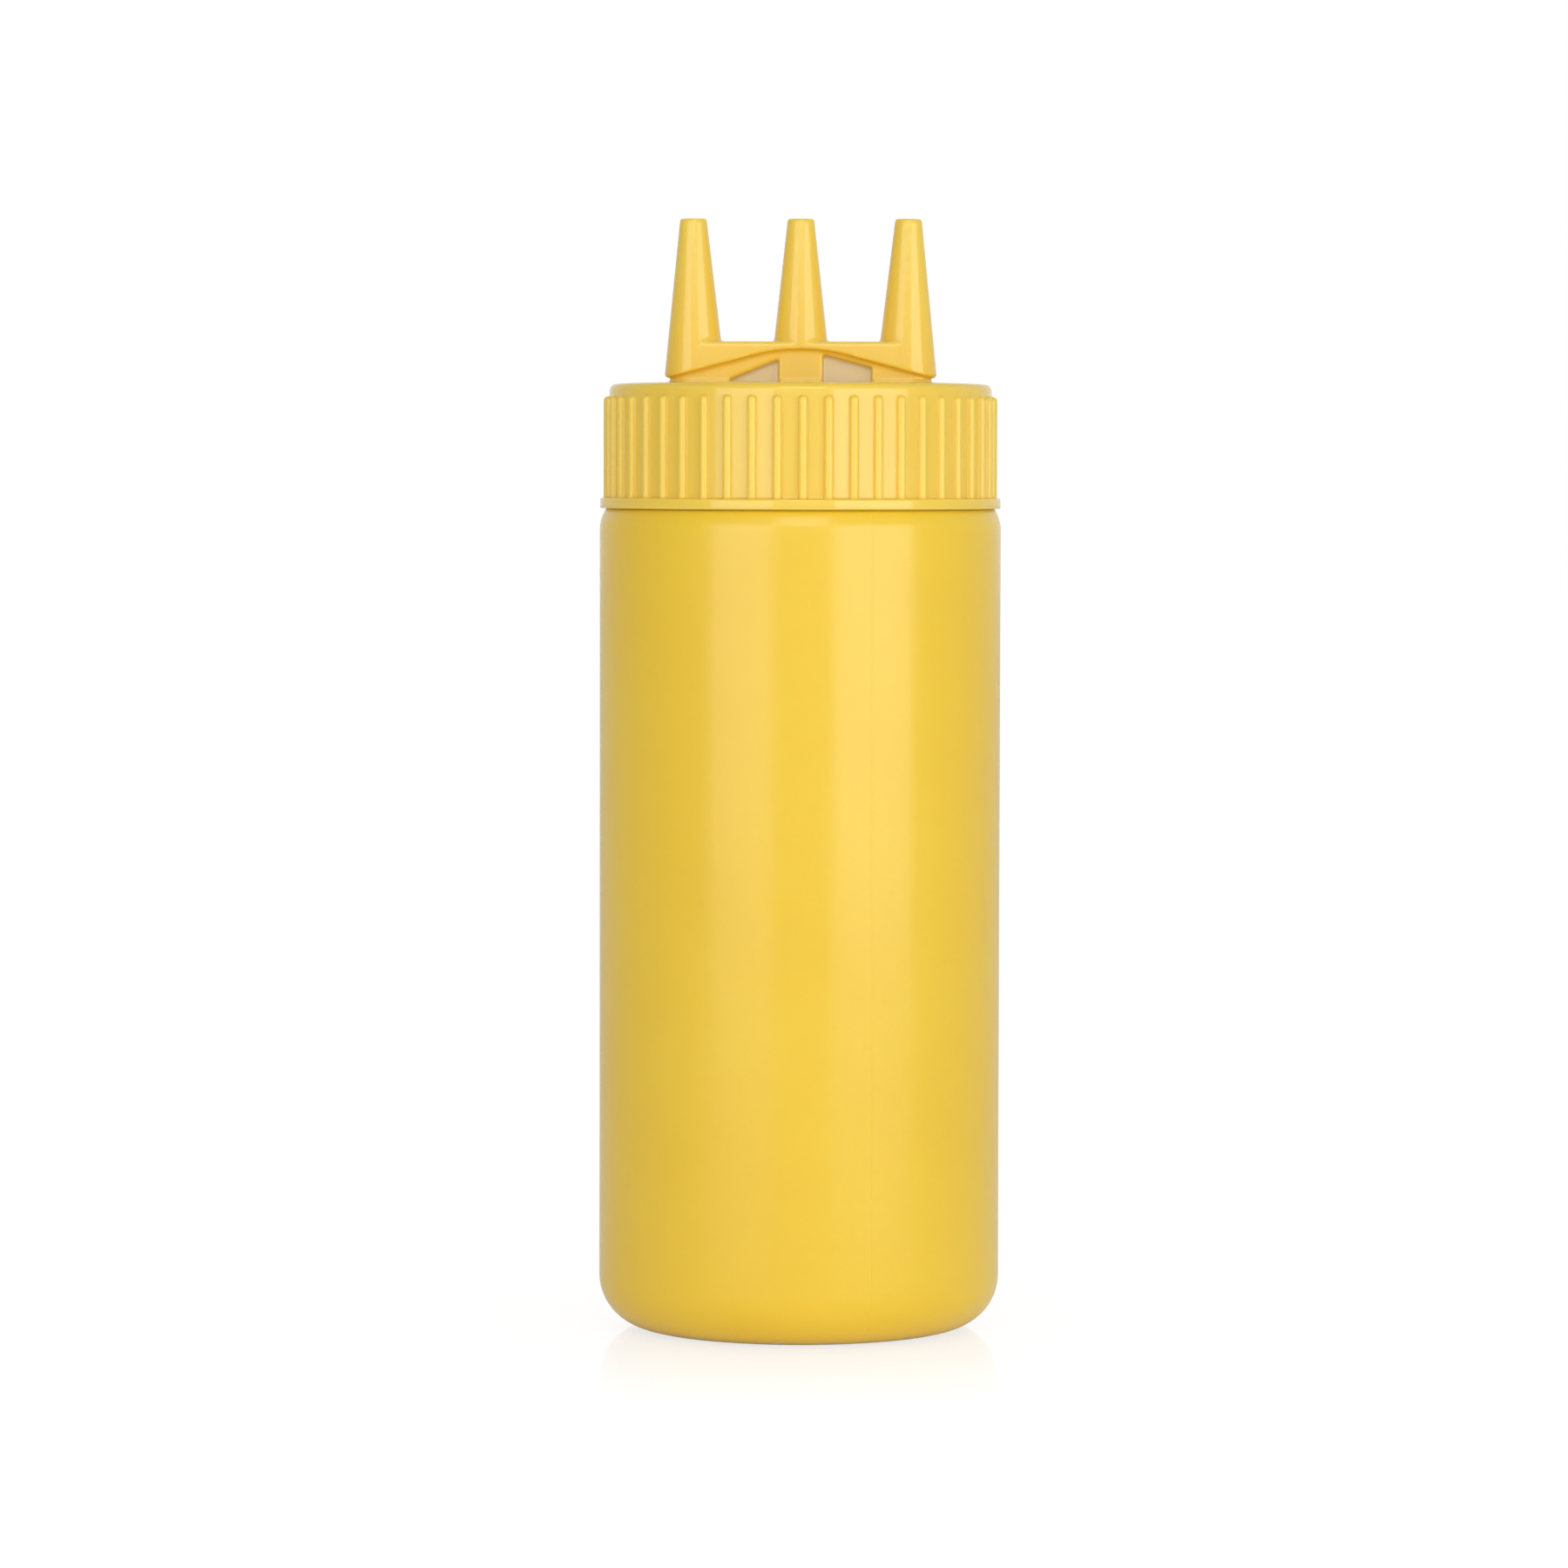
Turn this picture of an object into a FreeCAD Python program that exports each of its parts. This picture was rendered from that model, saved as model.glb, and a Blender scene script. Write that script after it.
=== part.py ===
import FreeCAD, Part
import math
import os

from FreeCAD import Vector

# Condiment squeeze bottle with a three-spout screw cap.
#
# Two pieces: a blow-moulded squeeze bottle and the injection-moulded cap that is screwed down on its neck.
# The cap carries its three spouts in one moulding: they stand in a row on an arched bar, over the top plate.
#
# Frame: millimetres, +Z up, origin at the middle of the foot ring's plane. The row of spouts runs along X.

# ---------------------------------------------------------------- bottle
body_radius = 35.0         # outside of the squeeze wall
body_height = 143.25       # foot ring to the ledge under the cap
base_corner = 9.2          # rounding from the wall into the base
foot_ring_width = 2.2      # flat ring that the bottle stands on
push_up_height = 3.0       # how far the middle of the base is raised
push_up_edge = 1.0         # rounding where the foot ring turns into the raised middle
shoulder_radius = 6.8      # curve from the wall towards the ledge
shoulder_rise = 3.7        # height of that curve
ledge_edge = 0.4           # rounding at the outer edge of the ledge
neck_step = 3.5            # from the wall in to the neck
neck_height = 19.95        # ledge to rim
rim_edge = 0.6             # rounding at the rim

# ---------------------------------------------------------------- cap shell
neck_clearance = 0.4       # between the neck and the skirt
cap_gap = 0.1              # between the ledge and the skirt's lower edge
skirt_wall = 1.45
plate_thickness = 2.0
plate_corner = 1.2         # rounding from the plate down to the skirt
crown_width = 9.0          # sloping border of the plate
crown_drop = 0.25          # how far that border falls
flange_height = 1.8
flange_overhang = 1.6      # flange beyond the skirt
flange_edge = 0.3

# ---------------------------------------------------------------- grip ribs
rib_count = 48
rib_height = 1.0           # how far a rib stands out of the skirt
rib_radius = 0.8           # round crest of a rib, and half its width
rib_top_gap = 2.4          # plate's top down to the ribs' round ends
rib_turn_deg = 0.6         # turn of the ring of ribs from the spouts' row

# ---------------------------------------------------------------- spouts
spout_pitch = 18.5         # middle spout to outer spout, at the bar's top
spout_splay_deg = 0.65     # outward lean of the outer spouts
spout_height = 21.35       # bar's top to tip
spout_tip_radius = 2.35
spout_taper_deg = 6.2      # slope of the spout's side
spout_tip_edge = 0.25
tip_bore_radius = 1.4
root_bore_radius = 2.6     # bore at the underside of the plate
heel_gap = 1.3             # plate to the lower edge of an outer spout
heel_bevel_in = 0.95
heel_bevel_down = 0.8

# ---------------------------------------------------------------- bar and web
bar_height = 7.15          # plate to the bar's top
bar_setback = 0.08         # bar's faces behind the spouts' sides
bar_edge = 0.5             # rounding along the bar's top
arch_web = 1.3             # bar left above the arch's crown
arch_crown_radius = 32.0
arch_leg_deg = 14.8        # slope of the arch's straight legs
web_setback = 1.0          # the web's faces behind the bar's
web_reach = 4.2            # web's round ends beyond the outer spouts' axes

# ---------------------------------------------------------------- pockets in the web
middle_post = 1.15         # full web left between the middle bore and a pocket
outer_post = 3.5           # full web left between a pocket and the outer bore
pocket_rim = 1.45          # web left between the arch's crown and a pocket's high side
pocket_low_side = {-1: 0.55, 1: 1.85}    # height of a pocket's outer side, left and right
pocket_corner = 0.4
panel_thickness = 4.8      # left between a pocket and the one behind it

# ---------------------------------------------------------------- cutting tools
tool_margin = 1.0          # how far they run past what they cut

# ---------------------------------------------------------------- what follows from them
neck_radius = body_radius - neck_step
rim_z = body_height + neck_height
plate_top_z = rim_z + plate_thickness
skirt_bottom_z = body_height + cap_gap
skirt_inner_radius = neck_radius + neck_clearance
skirt_radius = skirt_inner_radius + skirt_wall
flange_radius = skirt_radius + flange_overhang
flange_top_z = skirt_bottom_z + flange_height
bar_top_z = plate_top_z + bar_height
tip_z = bar_top_z + spout_height
heel_z = plate_top_z + heel_gap
spout_taper = math.tan(math.radians(spout_taper_deg))
arch_crown_z = bar_top_z - arch_web

AXIS = Vector(0, 0, 1)
ORIGIN = Vector(0, 0, 0)


def xz(x, z):
    """A point in the XZ plane. Turned profiles are drawn there too, with the radius as x."""
    return Vector(x, 0, z)


def line(start, end):
    return Part.LineSegment(start, end).toShape()


def arc(start, through, end):
    return Part.Arc(start, through, end).toShape()


def turned(edges):
    """The solid that a closed profile sweeps in a full turn about Z."""
    return Part.Face(Part.Wire(edges)).revolve(ORIGIN, AXIS, 360)


def outline(points):
    """Straight edges from point to point, without the closing one."""
    return [line(a, b) for a, b in zip(points, points[1:])]


def round_rings(solid, radius, rings):
    """Fillets the full-circle edges of a turned solid at the given (radius, z) places."""
    chosen = [
        edge
        for edge in solid.Edges
        if not edge.Degenerated and isinstance(edge.Curve, Part.Circle)
        for ring_radius, ring_z in rings
        if abs(edge.Curve.Radius - ring_radius) < 1e-4 and abs(edge.Curve.Center.z - ring_z) < 1e-4
    ]
    return solid.makeFillet(radius, chosen)


def spout_radius(z):
    """Outside radius of a spout, or of its heel, at height z."""
    return spout_tip_radius + (tip_z - z) * spout_taper


def bar_half_width(z):
    """Half the bar's width at height z: its faces follow the spouts' sides."""
    return spout_radius(z) - bar_setback


def arc_through(start, end, centre):
    """The shorter arc from start to end about centre."""
    middle = (start + end) * 0.5 - centre
    middle.normalize()
    return arc(start, centre + middle * start.distanceToPoint(centre), end)


def sagged(start, end, rise):
    """The arc from start to end that leaves start level and falls by rise."""
    run = end.x - start.x
    radius = (run * run + rise * rise) / (2 * rise)
    return arc_through(start, end, xz(start.x, start.z - radius))


# ---------------------------------------------------------------- bottle
def bottle():
    ring_outer = body_radius - base_corner
    ring_inner = ring_outer - foot_ring_width
    wall_top_z = body_height - shoulder_rise
    shoulder_centre = xz(body_radius - shoulder_radius, wall_top_z)
    ledge_radius = shoulder_centre.x + math.sqrt(shoulder_radius**2 - shoulder_rise**2)

    edges = [sagged(xz(0, push_up_height), xz(ring_inner, 0), push_up_height)]
    edges += outline([xz(ring_inner, 0), xz(ring_outer, 0)])
    edges.append(arc_through(xz(ring_outer, 0), xz(body_radius, base_corner), xz(ring_outer, base_corner)))
    edges += outline([xz(body_radius, base_corner), xz(body_radius, wall_top_z)])
    edges.append(arc_through(xz(body_radius, wall_top_z), xz(ledge_radius, body_height), shoulder_centre))
    edges += outline(
        [
            xz(ledge_radius, body_height),
            xz(neck_radius, body_height),
            xz(neck_radius, rim_z),
            xz(0, rim_z),
            xz(0, push_up_height),
        ]
    )
    solid = turned(edges)
    solid = round_rings(solid, ledge_edge, [(ledge_radius, body_height)])
    solid = round_rings(solid, push_up_edge, [(ring_inner, 0)])
    return round_rings(solid, rim_edge, [(neck_radius, rim_z)])


# ---------------------------------------------------------------- cap
def cap_shell():
    """Top plate, skirt and flange, with the recess that takes the neck."""
    flat_radius = skirt_radius - crown_width
    border_z = plate_top_z - crown_drop

    edges = [line(xz(0, rim_z), xz(0, plate_top_z)), line(xz(0, plate_top_z), xz(flat_radius, plate_top_z))]
    edges.append(sagged(xz(flat_radius, plate_top_z), xz(skirt_radius, border_z), crown_drop))
    edges += outline(
        [
            xz(skirt_radius, border_z),
            xz(skirt_radius, flange_top_z),
            xz(flange_radius, flange_top_z),
            xz(flange_radius, skirt_bottom_z),
            xz(skirt_inner_radius, skirt_bottom_z),
            xz(skirt_inner_radius, rim_z),
            xz(0, rim_z),
        ]
    )
    solid = turned(edges)
    solid = round_rings(solid, plate_corner, [(skirt_radius, border_z)])
    return round_rings(solid, flange_edge, [(flange_radius, flange_top_z), (flange_radius, skirt_bottom_z)])


def ribs():
    """Grip ribs with round crests and domed upper ends, evenly round the skirt."""
    crest_radius = skirt_radius + rib_height - rib_radius
    dome_z = plate_top_z - rib_top_gap - rib_radius
    root_z = flange_top_z - flange_height / 2
    made = []
    for index in range(rib_count):
        rib = Part.makeCylinder(rib_radius, dome_z - root_z, xz(crest_radius, root_z))
        rib = rib.fuse(Part.makeSphere(rib_radius, xz(crest_radius, dome_z)))
        rib.rotate(ORIGIN, AXIS, rib_turn_deg + index * 360 / rib_count)
        made.append(rib)
    return made


def stand_in_row(solid, side):
    """Leans a solid drawn on the Z axis outwards and moves it to its place; side is -1, 0 or 1."""
    solid.rotate(Vector(0, 0, bar_top_z), Vector(0, 1, 0), side * spout_splay_deg)
    solid.translate(Vector(side * spout_pitch, 0, 0))
    return solid


def spout(side):
    """A tapered spout that runs down past the bar to its bevelled heel."""
    heel_radius = spout_radius(heel_z)
    profile = [
        xz(0, heel_z - heel_bevel_down),
        xz(heel_radius - heel_bevel_in, heel_z - heel_bevel_down),
        xz(heel_radius, heel_z),
        xz(spout_tip_radius, tip_z),
        xz(0, tip_z),
    ]
    solid = turned(outline(profile + profile[:1]))
    return stand_in_row(round_rings(solid, spout_tip_edge, [(spout_tip_radius, tip_z)]), side)


def bore(side):
    """The tapered flow channel of one spout, from under the plate to past the tip."""
    low_z, high_z = rim_z - tool_margin, tip_z + tool_margin
    taper = (root_bore_radius - tip_bore_radius) / (tip_z - rim_z)
    profile = [
        xz(0, low_z),
        xz(root_bore_radius + taper * tool_margin, low_z),
        xz(tip_bore_radius - taper * tool_margin, high_z),
        xz(0, high_z),
    ]
    return stand_in_row(turned(outline(profile + profile[:1])), side)


def bar():
    """The bar that ties the spouts, from one outer spout's axis to the other's, before the arch is cut."""
    low_z = plate_top_z
    lean = math.atan(spout_taper)
    top_y = bar_half_width(bar_top_z)
    low_y = bar_half_width(low_z)
    reach = bar_edge / math.tan((math.pi / 2 + lean) / 2)

    def at(y, z):
        return Vector(-spout_pitch, y, z)

    def rounded_corner(side):
        on_top = at(side * (top_y - reach), bar_top_z)
        on_face = at(side * (top_y + reach * math.sin(lean)), bar_top_z - reach * math.cos(lean))
        centre = at(side * (top_y - reach), bar_top_z - bar_edge)
        return on_face, on_top, arc_through(on_face, on_top, centre)

    back_face, back_top, back_arc = rounded_corner(1)
    front_face, front_top, front_arc = rounded_corner(-1)
    edges = [
        line(at(-low_y, low_z), at(low_y, low_z)),
        line(at(low_y, low_z), back_face),
        back_arc,
        line(back_top, front_top),
        front_arc,
        line(front_face, at(-low_y, low_z)),
    ]
    return Part.Face(Part.Wire(edges)).extrude(Vector(2 * spout_pitch, 0, 0))


def across(edges, from_y, to_y):
    """A prism along Y between two depths, whose section is a closed run of edges in the XZ plane."""
    face = Part.Face(Part.Wire(edges))
    face.translate(Vector(0, from_y, 0))
    return face.extrude(Vector(0, to_y - from_y, 0))


def arch():
    """What is cut away under the bar: two straight legs and the round crown between them."""
    leg = math.radians(arch_leg_deg)
    half_depth = spout_radius(plate_top_z) + tool_margin
    half_span = spout_pitch + half_depth
    tangent_x = arch_crown_radius * math.sin(leg)
    tangent_z = arch_crown_z - arch_crown_radius * (1 - math.cos(leg))
    leg_end_z = tangent_z - (half_span - tangent_x) * math.tan(leg)
    floor_z = plate_top_z - bar_height
    left_legs = [xz(-half_span, floor_z), xz(-half_span, leg_end_z), xz(-tangent_x, tangent_z)]
    right_legs = [xz(tangent_x, tangent_z), xz(half_span, leg_end_z), xz(half_span, floor_z)]
    crown = arc(left_legs[-1], xz(0, arch_crown_z), right_legs[0])
    edges = outline(left_legs) + [crown] + outline(right_legs + left_legs[:1])
    return across(edges, -half_depth, half_depth)


def pocket(side, face):
    """A pocket in the web, left or right by side and front or back by face, with rounded upper corners."""
    inner_x = side * (root_bore_radius + middle_post)
    outer_x = side * (spout_pitch - root_bore_radius - outer_post)
    high_z = arch_crown_z - pocket_rim
    outer_z = plate_top_z + pocket_low_side[side]
    points = [xz(inner_x, rim_z), xz(outer_x, rim_z), xz(outer_x, outer_z), xz(inner_x, high_z)]
    floor_y = face * panel_thickness / 2
    solid = across(outline(points + points[:1]), floor_y, face * bar_half_width(plate_top_z))
    upper = [
        edge
        for edge in solid.Edges
        if edge.Vertexes[0].X == edge.Vertexes[1].X
        and edge.Vertexes[0].Z == edge.Vertexes[1].Z
        and edge.Vertexes[0].Z > plate_top_z
    ]
    return solid.makeFillet(pocket_corner, upper)


def web():
    """Upright web with round ends, from inside the plate to inside the bar, with its four pockets."""
    low_z = plate_top_z - plate_thickness / 2
    high_z = arch_crown_z + arch_web / 2
    half_width = bar_half_width(bar_top_z) - web_setback
    half_length = spout_pitch + web_reach
    straight = half_length - half_width

    def at(x, y):
        return Vector(x, y, low_z)

    plan = Part.Wire(
        [
            line(at(-straight, -half_width), at(straight, -half_width)),
            arc(at(straight, -half_width), at(half_length, 0), at(straight, half_width)),
            line(at(straight, half_width), at(-straight, half_width)),
            arc(at(-straight, half_width), at(-half_length, 0), at(-straight, -half_width)),
        ]
    )
    solid = Part.Face(plan).extrude(Vector(0, 0, high_z - low_z))
    for side in (-1, 1):
        for face in (-1, 1):
            solid = solid.cut(pocket(side, face))
    return solid


def cap():
    row = bar().multiFuse([spout(side) for side in (-1, 0, 1)]).cut(arch())
    solid = cap_shell().multiFuse([row, web()] + ribs())
    for side in (-1, 0, 1):
        solid = solid.cut(bore(side))
    return solid.removeSplitter()


def main():
    os.makedirs("parts", exist_ok=True)
    for name, make in (("bottle", bottle), ("spout_cap", cap)):
        shape = make()
        solid = shape.Solids[0]
        print(name, "valid", shape.isValid(), "solids", len(shape.Solids), "volume %.1f" % solid.Volume)
        solid.exportStep("parts/%s.step" % name)


main()
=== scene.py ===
# %% [markdown]
# # A squeeze bottle with three spouts
#
# The real object is two soft polythene mouldings: a blown bottle, and a wide screw cap whose three spouts
# stand in a row on an arched bar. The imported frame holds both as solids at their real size. This lesson
# models each one again with the fine forms that a mould leaves, gives it a finish, and lights it as a small
# product shoot.

# %% Load the frame
import math

import bmesh
import bpy
from mathutils import Matrix, Vector, noise


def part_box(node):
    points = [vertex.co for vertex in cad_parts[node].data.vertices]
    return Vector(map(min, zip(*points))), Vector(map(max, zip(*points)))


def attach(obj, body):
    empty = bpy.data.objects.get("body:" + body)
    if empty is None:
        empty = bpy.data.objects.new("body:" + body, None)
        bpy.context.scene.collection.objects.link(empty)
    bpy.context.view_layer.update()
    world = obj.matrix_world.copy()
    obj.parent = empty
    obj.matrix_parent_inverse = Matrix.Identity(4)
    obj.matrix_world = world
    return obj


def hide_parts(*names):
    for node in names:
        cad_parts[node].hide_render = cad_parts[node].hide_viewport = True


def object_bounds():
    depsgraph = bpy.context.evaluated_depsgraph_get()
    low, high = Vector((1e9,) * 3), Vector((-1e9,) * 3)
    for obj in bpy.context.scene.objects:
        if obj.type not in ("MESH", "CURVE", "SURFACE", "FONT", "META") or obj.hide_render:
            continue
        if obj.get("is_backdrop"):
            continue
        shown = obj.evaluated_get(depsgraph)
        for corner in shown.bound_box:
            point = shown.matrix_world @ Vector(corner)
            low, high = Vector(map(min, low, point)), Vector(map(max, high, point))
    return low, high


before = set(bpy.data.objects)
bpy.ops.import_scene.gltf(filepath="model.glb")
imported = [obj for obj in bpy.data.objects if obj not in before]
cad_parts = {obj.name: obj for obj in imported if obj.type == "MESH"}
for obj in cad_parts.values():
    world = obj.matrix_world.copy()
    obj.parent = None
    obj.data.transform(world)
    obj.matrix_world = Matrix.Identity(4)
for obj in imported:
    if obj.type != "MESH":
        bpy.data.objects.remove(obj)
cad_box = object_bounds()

# %% [markdown]
# Positions come from the frame, so that the pieces land where its solids are. Sizes that only a designer
# would know, such as a wall or a rounding, are named in millimetres where a piece first needs them, and one
# factor turns them into metres.

# %% Overall sizes, from the frame
MM = 0.001

bottle_low, bottle_high = (Vector(corner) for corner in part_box("bottle"))
cap_low, cap_high = (Vector(corner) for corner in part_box("spout_cap"))

body_radius = (bottle_high.x - bottle_low.x) / 2
flange_radius = (cap_high.x - cap_low.x) / 2
rim_z = bottle_high.z
skirt_bottom_z = cap_low.z
tip_z = cap_high.z
print("body radius %.2f mm, rim at %.2f mm, tips at %.2f mm" % (body_radius / MM, rim_z / MM, tip_z / MM))

# %% [markdown]
# Both mouldings are mostly round, so each starts from half of a section, a row of (radius, height) points.
# Three helpers draw it: an arc, a shallow arc that starts level, and holding points close to the ends of long
# straight runs. Smooth shading bends a flat wall near a rounding, and the holding points stop that. A section
# starts and ends at the small radius POLE, where one flat face closes the mesh.

# %% Helpers for sections
HOLD = 0.35 * MM
POLE = 0.4 * MM


def rounding(centre, radius, start_deg, end_deg, steps=8):
    """Points of an arc in the section plane."""
    turn = math.radians(end_deg - start_deg) / steps
    first = math.radians(start_deg)
    return [
        (centre[0] + radius * math.cos(first + turn * i), centre[1] + radius * math.sin(first + turn * i))
        for i in range(steps + 1)
    ]


def sagged(start, end_radius, drop, steps=10):
    """A shallow arc that leaves start level and has fallen by drop at end_radius."""
    run = end_radius - start[0]
    radius = (run * run + drop * drop) / (2 * drop)
    return [
        (start[0] + run * i / steps, start[1] - radius + math.sqrt(radius**2 - (run * i / steps) ** 2))
        for i in range(steps + 1)
    ]


def held(section, gap=HOLD):
    """The same section, with a point close to each end of every long straight stretch."""
    points = [section[0]]
    for (r0, z0), (r1, z1) in zip(section, section[1:]):
        length = math.hypot(r1 - r0, z1 - z0)
        if length > 4 * gap:
            share = gap / length
            points += [(r0 + (r1 - r0) * s, z0 + (z1 - z0) * s) for s in (share, 1 - share)]
        points.append((r1, z1))
    return points


# %% [markdown]
# A plain spin would make every column of the mesh alike, but the bottle has a mould line up each side and the
# cap has ribs. So a ring of vertices is drawn instead and extruded from station to station, and each piece
# says where its vertices go. The two ends are closed, and the normals are recalculated to point outwards.

# %% Helpers for round meshes
def ring_sweep(count, stations, place):
    """A bmesh swept from a ring of count vertices; place(index, station) gives each vertex its point."""
    bm = bmesh.new()
    which = bm.verts.layers.int.new("which")
    ring = bmesh.ops.create_circle(bm, segments=count, radius=1, cap_ends=False)["verts"]
    for index, vertex in enumerate(sorted(ring, key=lambda v: math.atan2(v.co.y, v.co.x) % (2 * math.pi))):
        vertex[which] = index
    first_edges = edges = list(bm.edges)
    for number, station in enumerate(stations):
        if number:
            made = bmesh.ops.extrude_edge_only(bm, edges=edges)["geom"]
            ring = [item for item in made if isinstance(item, bmesh.types.BMVert)]
            edges = [item for item in made if isinstance(item, bmesh.types.BMEdge)]
        for vertex in ring:
            vertex.co = place(vertex[which], station)
    for ends in (first_edges, edges):
        bmesh.ops.contextual_create(bm, geom=ends)
    bm.verts.layers.int.remove(which)
    bmesh.ops.recalc_face_normals(bm, faces=bm.faces)
    return bm


def polar(radius, angle, height):
    return Vector((radius * math.cos(angle), radius * math.sin(angle), height))


def ramp(value, start, end):
    """0 before start and 1 after end, with a soft change between them."""
    share = min(max((value - start) / (end - start), 0.0), 1.0)
    return share * share * (3 - 2 * share)


def finished(bm, name):
    """Turns a bmesh into a smooth-shaded object of the scene."""
    for face in bm.faces:
        face.smooth = True
    open_edges = sum(1 for edge in bm.edges if not edge.is_manifold)
    mesh = bpy.data.meshes.new(name)
    bm.to_mesh(mesh)
    bm.free()
    piece = bpy.data.objects.new(name, mesh)
    bpy.context.scene.collection.objects.link(piece)
    print(name, len(mesh.vertices), "vertices,", len(mesh.polygons), "faces,", open_edges, "open edges")
    return piece


# %% [markdown]
# ## The bottle
#
# The bottle is blow moulded: a hot tube of plastic is closed into a mould and blown against its walls. So the
# wall runs smoothly into the base and the shoulder, and the base is pushed up inside a ring that the bottle
# stands on. The shoulder is short, because the cap is as wide as the body.

# %% The bottle's section
base_corner = 9.2 * MM
foot_ring_width = 2.2 * MM
push_up_height = 3.0 * MM
push_up_edge = 1.0 * MM
push_up_lip = 0.1 * MM
shoulder_radius = 6.8 * MM
shoulder_rise = 3.7 * MM
ledge_edge = 0.2 * MM
ledge_turn_deg = 4
cap_gap = 0.1 * MM
neck_step = 3.5 * MM
rim_edge = 0.6 * MM
WALL_ROWS = 26

ledge_z = skirt_bottom_z - cap_gap
wall_top_z = ledge_z - shoulder_rise
neck_radius = body_radius - neck_step
ring_outer = body_radius - base_corner
ring_inner = ring_outer - foot_ring_width


def bottle_section():
    """The section from the middle of the base to the middle of the rim."""
    dome = sagged((POLE, push_up_height), ring_inner - push_up_edge / 2, push_up_height - push_up_lip, 14)
    low = dome + [(ring_inner + push_up_edge / 4, 0)]
    low += rounding((ring_outer, base_corner), base_corner, -90, 0, 16)
    wall = [
        (body_radius, base_corner + (wall_top_z - base_corner) * row / WALL_ROWS) for row in range(1, WALL_ROWS)
    ]
    bend_deg = math.degrees(math.asin(shoulder_rise / shoulder_radius))
    high = rounding((body_radius - shoulder_radius, wall_top_z), shoulder_radius, 0, bend_deg - ledge_turn_deg, 10)
    ledge_radius = high[-1][0] - ledge_edge
    high += [(ledge_radius, ledge_z), (neck_radius, ledge_z), (neck_radius, rim_z - rim_edge)]
    high += rounding((neck_radius - rim_edge, rim_z - rim_edge), rim_edge, 0, 90, 5)[1:]
    high.append((POLE, rim_z))
    return held(low) + wall + held(high)


print("bottle section has", len(bottle_section()), "points")

# %% [markdown]
# The mould's two halves leave a fine raised line up both sides of the bottle. It is a fraction of a millimetre
# wide, far narrower than a column of the mesh, so a few narrow columns are added at each line and their middle
# ones are lifted. A blown wall isn't quite round either: it hangs and shrinks as it cools. A slow noise, drawn
# out along the height, pulls the wall inwards by less than a tenth of a millimetre, which is enough to make
# the long reflections waver.

# %% Columns, with the mould lines
BOTTLE_STEPS = 240
CLEAR_STEPS = 0.7
mould_line_turn = math.radians(20.4)
mould_line_height = 0.07 * MM
mould_line_start = (1.5 * MM, 5 * MM)
mould_line_profile = {-0.34: 0.0, -0.14: 0.45, 0.0: 1.0, 0.14: 0.45, 0.34: 0.0}
mould_line_angles = [(mould_line_turn - math.pi / 2) % (2 * math.pi), mould_line_turn + math.pi / 2]


def bottle_columns():
    """(angle, share of the mould line's height) for each column, in order of angle."""
    step = 2 * math.pi / BOTTLE_STEPS
    columns = [
        (index * step, 0.0)
        for index in range(BOTTLE_STEPS)
        if all(abs(index * step - line) > CLEAR_STEPS * step for line in mould_line_angles)
    ]
    for line in mould_line_angles:
        columns += [(line + offset * MM / body_radius, share) for offset, share in mould_line_profile.items()]
    return sorted(columns)


columns = bottle_columns()
print(len(columns), "columns")

# %% The blown wall
sway_depth = 0.045 * MM
sway_round = 1.5
sway_length = 75 * MM
sway_from_base = (12 * MM, 40 * MM)
sway_from_shoulder = (2 * MM, 22 * MM)


def sway(angle, height):
    """How far the wall is drawn in, from 0 to 1, at a place on it."""
    place = Vector((sway_round * math.cos(angle), sway_round * math.sin(angle), height / sway_length))
    fade = ramp(height, *sway_from_base) * ramp(wall_top_z - height, *sway_from_shoulder)
    return (0.5 + 0.5 * noise.noise(place)) * fade


def bottle_point(index, station):
    radius, height = station
    angle, line_share = columns[index]
    on_side = ramp(radius - ring_outer, *mould_line_start) * (height < ledge_z)
    radius += mould_line_height * line_share * on_side
    if radius > neck_radius:
        radius -= sway_depth * sway(angle, height)
    return polar(radius, angle, height)


bottle_shell = finished(ring_sweep(len(columns), bottle_section(), bottle_point), "bottle_shell")
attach(bottle_shell, "root")
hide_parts("bottle")

# %% [markdown]
# Under the base, in line with the mould lines, the closing mould pinches the tube shut and leaves a short
# raised weld. It starts as a grid, is bent onto the pushed-up base, and its middle is lifted. Extruding the
# sheet up into the base closes it.

# %% The weld under the base
weld_half_length = 16 * MM
weld_half_width = 0.7 * MM
weld_height = 0.35 * MM
weld_sunk = 0.06 * MM
weld_root = 0.6 * MM


def base_height(radius):
    """Height of the pushed-up base at a radius."""
    dome_radius = (ring_inner**2 + push_up_height**2) / (2 * push_up_height)
    return push_up_height - dome_radius + math.sqrt(dome_radius**2 - radius**2)


def weld():
    bm = bmesh.new()
    bmesh.ops.create_grid(bm, x_segments=48, y_segments=8, size=1)
    for vertex in bm.verts:
        along, across = vertex.co.x, vertex.co.y
        lift = (1 - along**6) * (1 - across**2)
        vertex.co = (along * weld_half_length, across * weld_half_width, 0)
        vertex.co.z = base_height(vertex.co.length) + weld_sunk - (weld_height + weld_sunk) * lift
    top = bmesh.ops.extrude_face_region(bm, geom=list(bm.faces))["geom"]
    raised = [item for item in top if isinstance(item, bmesh.types.BMVert)]
    bmesh.ops.translate(bm, verts=raised, vec=(0, 0, weld_root))
    turn = Matrix.Rotation(mould_line_angles[0], 3, "Z")
    bmesh.ops.rotate(bm, verts=bm.verts, cent=(0, 0, 0), matrix=turn)
    bmesh.ops.recalc_face_normals(bm, faces=bm.faces)
    return bm


base_weld = finished(weld(), "base_weld")
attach(base_weld, "root")
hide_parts("bottle")

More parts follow.
